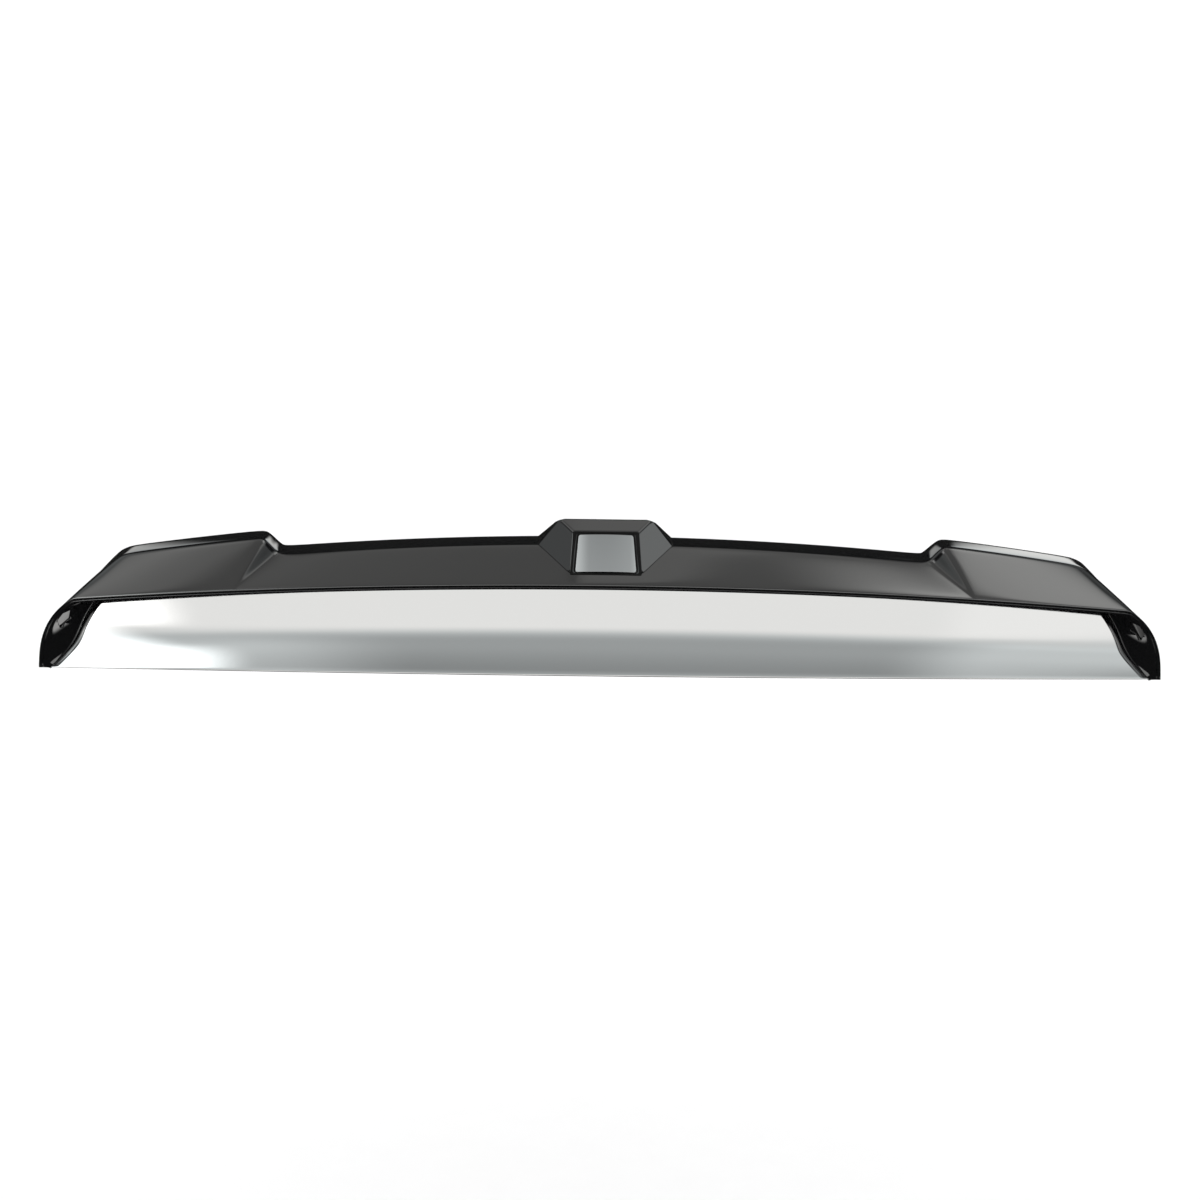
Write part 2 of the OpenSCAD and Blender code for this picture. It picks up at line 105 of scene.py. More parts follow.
def smooth(t):
    c = min(1.0, max(0.0, t))
    return c * c * (3 - 2 * c)


def bezier(a, b, c, t):
    return (1 - t) ** 2 * a + 2 * t * (1 - t) * b + t * t * c


def along(a, b, d):
    """The point at a distance d from a on the way to b."""
    return a + (b - a).normalized() * d


def past(a, b, d):
    """The point at a distance d beyond b, coming from a."""
    return b + (b - a).normalized() * d


def whole(right, middle):
    """Mirrors a row of right-hand sections to the left, with the middle one between."""
    left = [[vec(-p.x, p.y, p.z) for p in section] for section in reversed(right)]
    return left + [middle] + right


# %% The long lines of the upper shell
deck_half, lip_half, front_half = 539.0, 577.0, 552.0
rear_bow, front_bow, front_y = 40.0, 14.0, 195.0
lip_z, lip_height, lip_crown, lip_out = 100.0, 6.5, 30.5, 8.0
brow_y, brow_z, crest_y, crest_z, top_crown = 41.0, 144.0, 71.0, 149.5, 52.5
front_z, front_crown = 121.0, 34.0
wing_lift, wing_taper, step_x, step_run, step_sweep, step_foot = 19.5, 2.5, 354.0, 25.0, 45.0, 4.0
corner_run, corner_drop = 16.0, 3.4
bond_gap, lip_r, fold = 0.5, 1.5, 1.6


def bow(x):
    return rear_bow * share(x)


def lip_x(x):
    """Where a section that stands at x on the crest meets the lip: the step sweeps outwards."""
    a, end = abs(x), step_x + step_run
    if a < step_x:
        out = a * (step_x + step_sweep) / step_x
    elif a < end:
        out = step_x + step_sweep + (a - step_x) * step_foot / step_run
    else:
        out = lip_half - (deck_half - a) * (lip_half - step_x - step_sweep - step_foot) / (deck_half - end)
    return math.copysign(out, x)


def lift(x):
    out = abs(x) - step_x
    taper = max(0.0, out - step_run) / (deck_half - step_x - step_run)
    return (wing_lift - wing_taper * taper) * smooth(out / step_run)


def top_drop(x):
    soft_end = corner_drop * (max(0.0, abs(x) - deck_half + corner_run) / corner_run) ** 2
    return lift(x) - soft_end - top_crown * share(x)


def front_line(x):
    w = x * front_half / deck_half
    return vec(w, front_y + front_bow * share(w), front_z - front_crown * share(w))


def crest_line(x):
    return vec(x, crest_y + bow(x), crest_z + top_drop(x))


def brow_line(x):
    return vec(x, brow_y + bow(x), brow_z + top_drop(x))


def lip_line(x):
    w = lip_x(x)
    return vec(w, bow(w) - lip_out, lip_z + lip_height - lip_crown * share(w))


deck_pull = vec(0, 40, -5.6)


def deck_curve(crest, front, t):
    return bezier(crest, crest + deck_pull, front, t)


def deck_point(x, t):
    return deck_curve(crest_line(x), front_line(x), t)


print("wing stands", round(lift(400) - lift(0), 1), "mm above the middle")

# %% [markdown]
# ## The painted upper skin
# One blow-moulded skin runs from the front edge over the deck, the crest and the rear face to the
# lip, and down the side of each ear. Its edges are soft folds of two or three millimetres. A bevel
# on a dense mesh could make them, but a coarse cage with two close rows at each fold under a
# subdivision surface gives the same folds with no facets in the reflections.

# %% A skin from a grid of points
black_skins = []


def skin(name, grid, levels=2):
    """A moulded wall: its seen face is a subdivided cage, and its thickness is set in behind."""
    rows = len(grid[0])
    cage = bpy.data.meshes.new(name)
    corners = [placed(p) for section in grid for p in section]
    quads = [(j * rows + i, j * rows + i + 1, (j + 1) * rows + i + 1, (j + 1) * rows + i)
             for j in range(len(grid) - 1) for i in range(rows - 1)]
    cage.from_pydata(corners, [], quads)
    for face in cage.polygons:
        face.use_smooth = True
    piece = in_scene(name, cage)
    rounding = piece.modifiers.new("rounding", "SUBSURF")
    rounding.levels = rounding.render_levels = levels
    rounding.boundary_smooth = "PRESERVE_CORNERS"
    thickness = piece.modifiers.new("thickness", "SOLIDIFY")
    thickness.thickness = wall / 1000
    thickness.offset = -1
    print(name, "cage of", len(quads), "quads")
    return piece


# %% Upper skin
deck_steps, fold_step = (1, 0.75, 0.5, 0.25), 0.1
lip_turn = lip_r * math.tan(math.radians(26))
lip_in, lip_down = 0.42, 0.36


def upper_section(x):
    c, b, l = crest_line(x), brow_line(x), lip_line(x)
    s = l - vec(0, 0, (lip_height - bond_gap) / 2)
    return [deck_point(x, t) for t in deck_steps] + [
        along(c, deck_point(x, fold_step), fold), along(c, b, fold), along(b, c, fold),
        along(b, l, fold), (b + l) / 2, along(l, b, lip_turn),
        l + vec(0, lip_turn * lip_in, -lip_turn * lip_down), along(l, s, lip_turn), s]


turn_in, turn_forward, turn_up = 14, 65, 32
corner_out, corner_down = 4, 8
tip = vec(half, rear_bow, 0)
side_turn = vec(half - turn_in, rear_bow + turn_forward, turn_up)
front_corner = vec(front_half + corner_out, front_y + front_bow, front_z - front_crown - corner_down)
side_share = (1, 0.86, 0.72, 0.58, 0.47, 0.45, 0.35, 0.33, 0.17, 0.02, 0.01, 0, 0)
rim_out, rim_up, rim_split, ear_rim = 1.0, 0.44, 0.64, 7.8
side_out = (0, 0.08, 0.16, 0.24, 0.28, 0.3, 0.34, 0.36, 0.6, 0.9, rim_out, rim_out, rim_out)
side_up = (0, 0.08, 0.16, 0.24, 0.28, 0.3, 0.34, 0.36, 0.4, 0.44, rim_up, rim_up, rim_up)
side_steps = (0.04, 0.2, 0.4, 0.6, 0.8, 1)


def bulged(top, foot, out, up, s):
    """A side line from top to foot, pulled outwards and upwards at its middle."""
    middle = (top + foot) / 2
    pull = vec(out * (foot.x - middle.x), 0, up * (top.z - middle.z))
    return bezier(top, middle + pull, foot, s)


def side_point(i, top, s):
    foot = bezier(tip, side_turn, front_corner, side_share[i])
    if i == len(side_share) - 1:
        foot = foot - vec(ear_rim * rim_split - bond_gap / 2, 0, 0)
    return bulged(top, foot, side_out[i], side_up[i], s)


wing_start, wing_end = step_x + step_run, deck_half - corner_run
inner_columns, step_columns, wing_columns = 8, 5, 4
stations = [step_x * i / inner_columns for i in range(1, inner_columns + 1)]
stations += [step_x + step_run * i / step_columns for i in range(1, step_columns + 1)]
stations += [wing_start + (wing_end - wing_start) * i / wing_columns for i in range(1, wing_columns + 1)]
stations += [deck_half - corner_run / 2, deck_half]
end_section = upper_section(deck_half)
right_side = [upper_section(x) for x in stations]
right_side += [[side_point(i, p, s) for i, p in enumerate(end_section)] for s in side_steps]
upper_skin = skin("upper_skin", whole(right_side, upper_section(0)))
black_skins.append((upper_skin, "upper_shell"))

# %% [markdown]
# ## The recess under the lip
# Under the lip the lower shell makes a hood, which is the lip's underside and the inner face of each
# ear, and a wall with a skirt below it. The crease between wall and skirt is a soft fold, so two
# close rows stand beside it, and the skirt's bottom edge rolls under.

# %% Lines of the wall and the skirt
edge_z, edge_crown = 4.0, 4.0
crease_z, crease_crown, crease_y, crease_y_end = 50.0, 24.0, 21.0, 14.0
wall_y, wall_y_end, ceiling_rise = 30.0, 27.0, 4.0
pull_out, pull_out_end, pull_up = 0.55, 0.72, 0.45
wall_half, crease_half, edge_half, wall_power = 554.0, 580.0, 608.0, 1.7
bury, edge_r = wall / 2, 1.2


def edge_line(x):
    return vec(x, bow(x), edge_z - edge_crown * share(x))


def crease_line(x):
    y = crease_y - (crease_y - crease_y_end) * share(x)
    return vec(x, bow(x) + y, crease_z - crease_crown * share(x))


def ceiling_line(x):
    y = wall_y - (wall_y - wall_y_end) * share(x)
    return vec(x, bow(x) + y, lip_z + ceiling_rise - lip_crown * share(x))


def wall_point(a, t):
    """A point of the wall: t runs from the crease up, and the wall is steeper at the ends."""
    x = a * (crease_half + (wall_half - crease_half) * t ** wall_power)
    c, w = crease_line(x), ceiling_line(x)
    out = pull_out + (pull_out_end - pull_out) * share(x)
    return bezier(c, vec(x, c.y + out * (w.y - c.y), c.z + pull_up * (w.z - c.z)), w, t)


skirt_hollow = vec(0, 0.45, -0.2)


def skirt_point(a, t):
    x = a * (edge_half + (crease_half - edge_half) * t)
    return edge_line(x) + t * (crease_line(x) - edge_line(x)) + 4 * t * (1 - t) * skirt_hollow


# %% Rear wall and skirt, with the rolled bottom edge
edge_roll = vec(0, 3.4, 0.4)
wall_rows, skirt_rows, rear_columns = (0.8, 0.55, 0.3, 0.1), (0.88, 0.5, 0.08, 0), 14


def rear_section(a):
    rows = [wall_point(a, 1) + vec(0, 0, bury)]
    rows += [wall_point(a, t) for t in wall_rows]
    rows += [skirt_point(a, t) for t in skirt_rows]
    return rows + [skirt_point(a, 0) + edge_roll]


rear_stations = [i / rear_columns for i in range(1, rear_columns)] + [1 + bury / wall_half]
rear_wall = skin("rear_wall", whole([rear_section(a) for a in rear_stations], rear_section(0)))
black_skins.append((rear_wall, "lower_shell"))

# %% Hood: the underside of the lip and the ears' inner faces
crease_at, hood_columns = 0.74, 12


def corner_point(s):
    if s < crease_at:
        return wall_point(1, 1 - s / crease_at)
    return skirt_point(1, 1 - (s - crease_at) / (1 - crease_at))


def rim_point(s, top_in, foot_in):
    top = lip_line(deck_half) - vec(0, 0, top_in)
    return bulged(top, tip - vec(foot_in, 0, 0), rim_out, rim_up, s)


def hood_section(x):
    l = lip_line(x)
    low = l - vec(0, 0, lip_height)
    deep = ceiling_line(l.x * wall_half / lip_half)
    return [l - vec(0, 0, (lip_height + bond_gap) / 2), low + vec(0, 0, edge_r),
            low + vec(0, edge_r, 0), (low + deep) / 2, past(low, deep, bury)]


def ear_section(s):
    low, deep = rim_point(s, lip_height, ear_rim), corner_point(s)
    return [rim_point(s, (lip_height + bond_gap) / 2, ear_rim * rim_split + bond_gap / 2),
            rim_point(s, lip_height - edge_r, ear_rim - edge_r), along(low, deep, edge_r),
            (low + deep) / 2, past(low, deep, bury)]


hood_right = [hood_section(deck_half * i / hood_columns) for i in range(1, hood_columns + 1)]
hood_right += [ear_section(s) for s in side_steps]
hood = skin("lip_hood", whole(hood_right, hood_section(0)))
black_skins.append((hood, "lower_shell"))

# %% [markdown]
# ## The pockets in the ears
# Each ear has a shallow five-sided pocket, deepest at its outer edge, so its floor leans towards
# the viewer and catches light that the ear around it does not. Loops could be cut into the hood's
# cage for it, but they would pull at the smooth skin around them. A cutter with a tilted floor,
# taken away with a boolean, leaves the crisp edge that a steel mould leaves.

# %% Ear pockets
pocket_corners = ((0.18, 0.29), (0.35, 0.43), (0.5, 0.31), (0.38, 0.08), (0.24, 0.08))
pocket_middle, beside, below = (0.33, 0.24), (0.33, 0.34), (0.43, 0.24)
pocket_deep, pocket_shallow, cutter_reach = 2.6, 0.3, 6


def ear_spot(q):
    """A spot inside the ear: q is the share down its rim and the share from rim to wall."""
    low = rim_point(q[0], lip_height, ear_rim)
    return low + q[1] * (corner_point(q[0]) - low)


def mesh_piece(name, points, faces, flat=True):
    body = bpy.data.meshes.new(name)
    body.from_pydata([placed(p) for p in points], [], faces)
    for face in body.polygons:
        face.use_smooth = not flat
    return in_scene(name, body)


def cut(piece, cutter, name):
    """Takes the cutter away from the piece, keeps the result as a modifier and hides the cutter."""
    boolean = piece.modifiers.new(name, "BOOLEAN")
    boolean.operation = "DIFFERENCE"
    boolean.solver = "EXACT"
    boolean.object = cutter
    cutter.hide_render = cutter.hide_viewport = True


def pocket_cutter(side):
    middle = ear_spot(pocket_middle)
    out = (ear_spot(beside) - middle).cross(ear_spot(below) - middle).normalized()
    if out.x > 0:
        out = -out
    shares = [q[1] for q in pocket_corners]
    low, high = min(shares), max(shares)
    floor, roof = [], []
    for q in pocket_corners:
        depth = pocket_deep - (pocket_deep - pocket_shallow) * (q[1] - low) / (high - low)
        p = ear_spot(q)
        p = p - out * (p - middle).dot(out)
        floor.append(p - out * depth)
        roof.append(p + out * cutter_reach)
    points = [vec(side * p.x, p.y, p.z) for p in floor + roof]
    n = len(floor)
    faces = [tuple(range(n)), tuple(range(2 * n - 1, n - 1, -1))]
    faces += [(i, i + n, (i + 1) % n + n, (i + 1) % n) for i in range(n)]
    cutter = mesh_piece(f"pocket_cutter_{'right' if side > 0 else 'left'}", points, faces)
    bm = bmesh.new()
    bm.from_mesh(cutter.data)
    bmesh.ops.recalc_face_normals(bm, faces=bm.faces)
    bm.to_mesh(cutter.data)
    bm.free()
    return cutter


for side in (-1, 1):
    cut(hood, pocket_cutter(side), f"pocket_{side + 2}")
print("pockets are", pocket_deep, "mm deep at the outer edge")

# %% [markdown]
# ## The pod
# The pod is a faceted housing over the middle of the face. Its facets are flat and its edges have
# small radii, with larger ones at the roof's sides and almost none beside the window. A mesh of its
# corners with weighted bevels keeps the facets flat, which a subdivision surface would not.

# %% Pod housing
pod_half, pod_top_half, pod_z, pod_y = 75.0, 51.0, 172.0, 40.0
pod_nose_y, pod_nose_half, pod_nose_at, pod_sink = 148.0, 30.0, 0.7, 1.0
window_foot_y, window_head_y, window_head_z = 4.0, 24.0, 160.0
panel_foot_half, panel_head_half = 39.0, 36.0


def face_z(y):
    l, b = lip_line(0), brow_line(0)
    return l.z + (b.z - l.z) * (y - l.y) / (b.y - l.y)


window_foot = vec(0, window_foot_y, face_z(window_foot_y) - pod_sink)
sunk = vec(0, 0, pod_sink)
pod_right = [window_foot + vec(panel_foot_half, 0, 0), vec(panel_head_half, window_head_y, window_head_z),
             vec(pod_top_half, pod_y, pod_z), brow_line(pod_half) - sunk, crest_line(pod_half) - sunk,
             vec(pod_nose_half, pod_nose_y, deck_point(0, pod_nose_at).z - pod_sink)]
k = len(pod_right)
pod_faces = [(0, 1, 1 + k, k), (1, 2, 2 + k, 1 + k), (2, 5, 5 + k, 2 + k), (0, k, 5 + k, 5),
             (0, 3, 2), (0, 2, 1), (3, 4, 2), (4, 5, 2), (0, 5, 4), (0, 4, 3),
             (2 + k, 3 + k, k), (1 + k, 2 + k, k), (2 + k, 4 + k, 3 + k), (2 + k, 5 + k, 4 + k),
             (4 + k, 5 + k, k), (3 + k, 4 + k, k)]
pod_left = [vec(-p.x, p.y, p.z) for p in pod_right]
pod = mesh_piece("pod_housing", pod_right + pod_left, pod_faces, flat=False)
black_skins.append((pod, "upper_shell"))

# %% Radii of the pod's edges
pod_radius, facet_share, panel_share = 6.2, 0.34, 0.05
roof_sides = {(2, 5), (2 + k, 5 + k)}
panel_sides = {(0, 1), (k, 1 + k)}


def radius_share(pair):
    if pair in roof_sides:
        return 1.0
    return panel_share if pair in panel_sides else facet_share


def soft_edges(piece, radius, segments, limit="ANGLE"):
    """Small radii on the piece's edges, with normals that leave its flat faces flat."""
    radii = piece.modifiers.new("edge_radii", "BEVEL")
    radii.limit_method = limit
    radii.width = radius / 1000
    radii.segments = segments
    radii.harden_normals = True


edge_weight = pod.data.attributes.new("bevel_weight_edge", "FLOAT", "EDGE")
for i, edge in enumerate(pod.data.edges):
    edge_weight.data[i].value = radius_share(tuple(sorted(edge.vertices)))
soft_edges(pod, pod_radius, 4, "WEIGHT")
print("pod edges:", round(pod_radius * facet_share, 1), "mm, roof's sides:", pod_radius, "mm")

# %% Window opening in the pod
window_run, window_rise = window_head_y - window_foot_y, window_head_z - window_foot.z
window_tilt = math.atan2(window_rise, window_run)
panel_height = math.hypot(window_run, window_rise)
border, border_end, gasket_w, window_r, seat_gap = 4.4, 2.0, 1.4, 3.0, 0.3
corner_points = 9


def panel_ring(side, end, r):
    """A rounded ring in the panel, at its own distance from the panel's sides and from its ends."""
    foot, head = panel_foot_half - side, panel_head_half - side
    low, high = end, panel_height - end
    ring = []
    for cx, cy, start in ((foot - r, low + r, -90), (head - r, high - r, 0),
                          (r - head, high - r, 90), (r - foot, low + r, 180)):
        for step in range(corner_points):
            a = math.radians(start + 90 * step / (corner_points - 1))
            ring.append((cx + r * math.cos(a), cy + r * math.sin(a)))
    return ring


def window_outline(grow):
    """The pane's outline in the panel, made larger by grow."""
    return panel_ring(border + gasket_w - grow, border_end + gasket_w - grow, window_r + grow)


def on_panel(x, y, z):
    """A point at x and y in the panel and z in front of it."""
    return window_foot + Matrix.Rotation(window_tilt, 3, "X") @ vec(x, y, z)


def window_prism(name, grow, back, front):
    ring = window_outline(grow)
    n = len(ring)
    points = [on_panel(x, y, z) for z in (back, front) for x, y in ring]
    faces = [tuple(range(n - 1, -1, -1)), tuple(range(n, 2 * n))]
    faces += [(i, (i + 1) % n, (i + 1) % n + n, i + n) for i in range(n)]
    return mesh_piece(name, points, faces)


cut(pod, window_prism("window_cutter", gasket_w + seat_gap, -2 * wall, wall), "window_opening")
print("window panel leans back", round(90 - math.degrees(window_tilt), 1), "degrees")

# %% [markdown]
# ## The window and its frame
# The pane in the pod is bent like a slice of a wide cylinder, so the light runs across it from pale
# to dark. The frame is a soft moulding that grips the pane and covers the pod's border. A pane cut
# into columns and bent by a formula, and a frame swept round its own outline, give both.

# %% Bent window pane
window_sink, window_t = 0.6, 3.0
pane_crown, pane_middle = 3.6, 0.7
pane_columns, pane_rim, pane_edge = 32, 0.3, 0.4


def pane_bend(x):
    """How far the bent pane stands in front of a flat one at x."""
    return pane_crown * (pane_middle - (x / panel_foot_half) ** 2)


pane_ring = window_outline(-pane_rim)
widest = max(x for x, y in pane_ring)
pane = bpy.data.meshes.new("window_pane")
bm = bmesh.new()
for z in (-window_sink - window_t, -window_sink):
    bm.faces.new([bm.verts.new(placed(on_panel(x, y, z))) for x, y in pane_ring])
for j in range(1, pane_columns):
    at = placed(on_panel(widest * (2 * j / pane_columns - 1), 0, 0))
    whole_pane = bm.verts[:] + bm.edges[:] + bm.faces[:]
    bmesh.ops.bisect_plane(bm, geom=whole_pane, plane_co=at, plane_no=(1, 0, 0))
out_of_panel = Matrix.Rotation(window_tilt, 3, "X") @ vec(0, 0, 1) / 1000
for v in bm.verts:
    v.co += out_of_panel * pane_bend(1000 * v.co.x)
bmesh.ops.bridge_loops(bm, edges=[e for e in bm.edges if e.is_boundary])
bmesh.ops.recalc_face_normals(bm, faces=bm.faces)
bm.to_mesh(pane)
bm.free()
pane.shade_smooth()
window_pane = in_scene("window_pane", pane)
soft_edges(window_pane, pane_edge, 2)
print("pane of", pane_columns, "columns, bent by", pane_crown, "mm")

# %% Window frame
frame_side, frame_end, frame_r, frame_proud, frame_grip = 0.2, 0.1, 2.4, 0.9, 4.6
# The frame's outer side: how far in from its edge, and how far in front of the panel.
outer_rings = ((0.5, -1.6), (0.0, 0.1), (0.4, frame_proud - 0.15), (0.9, frame_proud))
# Its lip on the pane: how far out from the pane's outline, and how far in front of the bent pane.
lip_rings = ((0.5, -0.8), (0.05, -0.95), (-0.1, -1.4))
grip_rings = (-0.1, gasket_w)


def ring_piece(name, rings):
    """A closed band through rings of points that all have the same count."""
    n, faces = len(rings[0]), []
    for j in range(len(rings)):
        here, there = j * n, (j + 1) % len(rings) * n
        faces += [(here + i, here + (i + 1) % n, there + (i + 1) % n, there + i) for i in range(n)]
    return mesh_piece(name, [p for ring in rings for p in ring], faces)


frame_rings = [[on_panel(x, y, z) for x, y in panel_ring(frame_side + d, frame_end + d, frame_r)]
               for d, z in outer_rings]
frame_rings += [[on_panel(x, y, z + pane_bend(x)) for x, y in window_outline(grow)]
                for grow, z in lip_rings]
frame_rings += [[on_panel(x, y, -frame_grip) for x, y in window_outline(grow)] for grow in grip_rings]
window_frame = ring_piece("window_frame", frame_rings)
print("frame of", len(frame_rings), "rings stands", frame_proud, "mm proud")

# %% [markdown]
# ## The pan, its bosses and pins
# A pan closes the hollow from below and carries the fixings. None of it shows from behind, but the
# part is seen from below before it is fitted. The bosses are turned forms, so each is a profile
# swept round an axis.

# %% Pan
pan_rear, pan_front, pan_depth = 576.0, 536.0, 16.0
pan_step = (pan_rear + 2 * pan_front) / 3
wall_at, wall_clear = 0.1, 0.7
flange_at, flange_clear, bend_at, bend_clear, bend_run = 0.97, 0.2, 0.78, 1.4, 8
pan_rows, end_gap = (0.33, 0.66), 5


def under_deck(x, t):
    """The deck without its wings, as the pan follows only the deck."""
    return deck_curve(crest_line(x) - vec(0, 0, lift(x)), front_line(x), t)


def pan_section(x):
    r = wall_point(x * pan_rear / pan_front / crease_half, wall_at) + vec(0, bury + wall_clear, 0)
    e = under_deck(x, flange_at) - vec(0, 0, 2 * wall + bond_gap + flange_clear)
    f = under_deck(x, bend_at) - vec(0, 0, 2 * wall + bond_gap + bend_clear)
    low = vec(x * pan_step / pan_front, f.y - bend_run, f.z - pan_depth)
    return [r] + [r + t * (low - r) for t in pan_rows] + [low, f, e]


pan_stations = [x for x in stations if x < pan_front - end_gap] + [pan_front]
pan = skin("pan", whole([pan_section(x) for x in pan_stations], pan_section(0)), levels=1)

# %% Turned forms
stud_x, pin_x, clip_x = (150.0, 430.0), 290.0, 505.0
stud_t, clip_t, floor_t = 0.62, 0.4, 4.0
slope = math.tan(math.radians(24))
boss_under, boss_over = 2, 1


def pan_spot(x, t):
    """The pan's surface at x, at the share t of the way from its rear edge to its step."""
    s = pan_section(x * pan_front / (pan_rear + t * (pan_step - pan_rear)))
    p = s[0] + t * (s[3] - s[0])
    return vec(x, p.y, p.z)


def boss_low(x, t, r):
    return pan_spot(x, t) - vec(0, 0, r * slope + boss_under)


def boss_height(r):
    return 2 * r * slope + boss_under + wall * math.hypot(1, slope) + boss_over


def turned(points, faces, middle, profile, closed, segments=40):
    """Adds a profile of (radius, height) pairs, swept round the upright axis through middle."""
    start, n = len(points), len(profile)
    for j in range(segments):
        a = 2 * math.pi * j / segments
        points += [middle + vec(r * math.cos(a), r * math.sin(a), z) for r, z in profile]
    for j in range(segments):
        here, there = start + j * n, start + (j + 1) % segments * n
        for i in range(n if closed else n - 1):
            b = (i + 1) % n
            faces.append((here + i, there + i, there + b, here + b))
    if not closed:
        faces.append(tuple(start + j * n for j in range(segments - 1, -1, -1)))
        faces.append(tuple(start + j * n + n - 1 for j in range(segments)))


def turned_piece(name, jobs):
    points, faces = [], []
    for middle, profile, closed in jobs:
        turned(points, faces, middle, profile, closed)
    return mesh_piece(name, points, faces, flat=False)


# %% Bosses and locating pins
stud_boss_r, clip_boss_r, stud_hole_r, clip_hole_r = 12.0, 9.0, 3.7, 4.2
cutter_past, turned_edge = 12, 0.5
collar_r, pin_r, pin_length, pin_taper, pin_nose, collar_short = 8.0, 4.0, 12.0, 2, 4, 2


def cup(r, hole_r):
    h = boss_height(r)
    return [(hole_r, 0), (r, 0), (r, h), (r - wall, h), (r - wall, floor_t), (hole_r, floor_t)]


boss_places = [(s * x, stud_t, stud_boss_r, stud_hole_r) for x in stud_x for s in (-1, 1)]
boss_places += [(s * clip_x, clip_t, clip_boss_r, clip_hole_r) for s in (-1, 1)]
bosses = turned_piece("bosses", [(boss_low(x, t, r), cup(r, hole), True) for x, t, r, hole in boss_places])

hole_jobs = []
for x, t, r, hole in boss_places:
    bore = [(r - wall / 2, 0), (r - wall / 2, boss_height(r) + 2 * cutter_past)]
    hole_jobs.append((boss_low(x, t, r) + vec(0, 0, floor_t - cutter_past), bore, False))
cut(pan, turned_piece("pan_cutter", hole_jobs), "boss_holes")

pin_profile = [(pin_r - pin_taper, -pin_length - pin_nose), (pin_r, -pin_length), (pin_r, 0),
               (collar_r, 0), (collar_r, boss_height(collar_r) - collar_short)]
pin_jobs = [(boss_low(s * pin_x, stud_t, collar_r), pin_profile, False) for s in (-1, 1)]
pins = turned_piece("locating_pins", pin_jobs)
for piece in (bosses, pins):
    soft_edges(piece, turned_edge, 2)
print("bosses", len(boss_places), "pins", len(pin_jobs))

# %% Which CAD nodes these pieces stand for
hidden_side = [pan, bosses, pins]
for piece, node in black_skins + [(p, "lower_shell") for p in hidden_side]:
    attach(piece, "root")
    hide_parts(node)
for piece, node, slot in ((window_pane, "pod_window", "smoked_window"),
                          (window_frame, "window_gasket", "black_rubber")):
    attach(piece, "root")
    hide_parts(node)

# %% [markdown]
# ## Effects that several finishes share
# Painted and moulded surfaces are never perfectly even. Three small shader groups give what a close
# look shows: the faint waviness of paint, the fine dust that settles on faces that look up, and the
# grain of a moulded surface. Each gives only masks and heights, and each material sets its values.

# %% Shader group helpers
def new_group(name, inputs, outputs):
    """A shader group with number sockets, and its two end nodes."""
    group = bpy.data.node_groups.new(name, "ShaderNodeTree")
    for label, default in inputs:
        socket = group.interface.new_socket(name=label, in_out="INPUT", socket_type="NodeSocketFloat")
        socket.default_value = default
    for label in outputs:
        group.interface.new_socket(name=label, in_out="OUTPUT", socket_type="NodeSocketFloat")
    return group, group.nodes.new("NodeGroupInput"), group.nodes.new("NodeGroupOutput")


def math_node(tree, operation, a, b=None, c=None):
    node = tree.nodes.new("ShaderNodeMath")
    node.operation = operation
    for socket, value in zip(node.inputs, (a, b, c)):
        if value is None:
            continue
        if isinstance(value, (int, float)):
            socket.default_value = value
        else:
            tree.links.new(value, socket)
    return node.outputs[0]


def noise_at(tree, place, scale, detail=2.0):
    node = tree.nodes.new("ShaderNodeTexNoise")
    node.inputs["Detail"].default_value = detail
    tree.links.new(place, node.inputs["Vector"])
    if isinstance(scale, (int, float)):
        node.inputs["Scale"].default_value = scale
    else:
        tree.links.new(scale, node.inputs["Scale"])
    return node.outputs["Fac"]


def object_place(tree):
    return tree.nodes.new("ShaderNodeTexCoord").outputs["Object"]


# %% Waviness of paint
relief_inputs = [("Scale", 160.0), ("Depth", 1.0)]
paint_waves, waves_in, waves_out = new_group("paint_waves", relief_inputs, ["Height", "Patches"])
place = object_place(paint_waves)
peel = noise_at(paint_waves, place, waves_in.outputs["Scale"], 1.0)
waves = math_node(paint_waves, "MULTIPLY", peel, waves_in.outputs["Depth"])
paint_waves.links.new(waves, waves_out.inputs["Height"])
paint_waves.links.new(noise_at(paint_waves, place, 6.0, 3.0), waves_out.inputs["Patches"])

# %% Settled dust
speck_cut, speck_gain, least_facing, film_share = 0.66, 5.0, 0.05, 0.5
dust, dust_in, dust_out = new_group("settled_dust", [("Scale", 900.0), ("Amount", 0.3)], ["Mask"])
place = object_place(dust)
specks = math_node(dust, "SUBTRACT", noise_at(dust, place, dust_in.outputs["Scale"], 1.0), speck_cut)
specks = math_node(dust, "MULTIPLY", math_node(dust, "MAXIMUM", specks, 0.0), speck_gain)
facing = dust.nodes.new("ShaderNodeSeparateXYZ")
dust.links.new(dust.nodes.new("ShaderNodeNewGeometry").outputs["Normal"], facing.inputs[0])
upward = math_node(dust, "MAXIMUM", facing.outputs["Z"], least_facing)
film = math_node(dust, "MULTIPLY_ADD", noise_at(dust, place, 9.0, 4.0), film_share, specks)
settled = math_node(dust, "MULTIPLY", math_node(dust, "MULTIPLY", film, upward), dust_in.outputs["Amount"])
dust.links.new(settled, dust_out.inputs["Mask"])

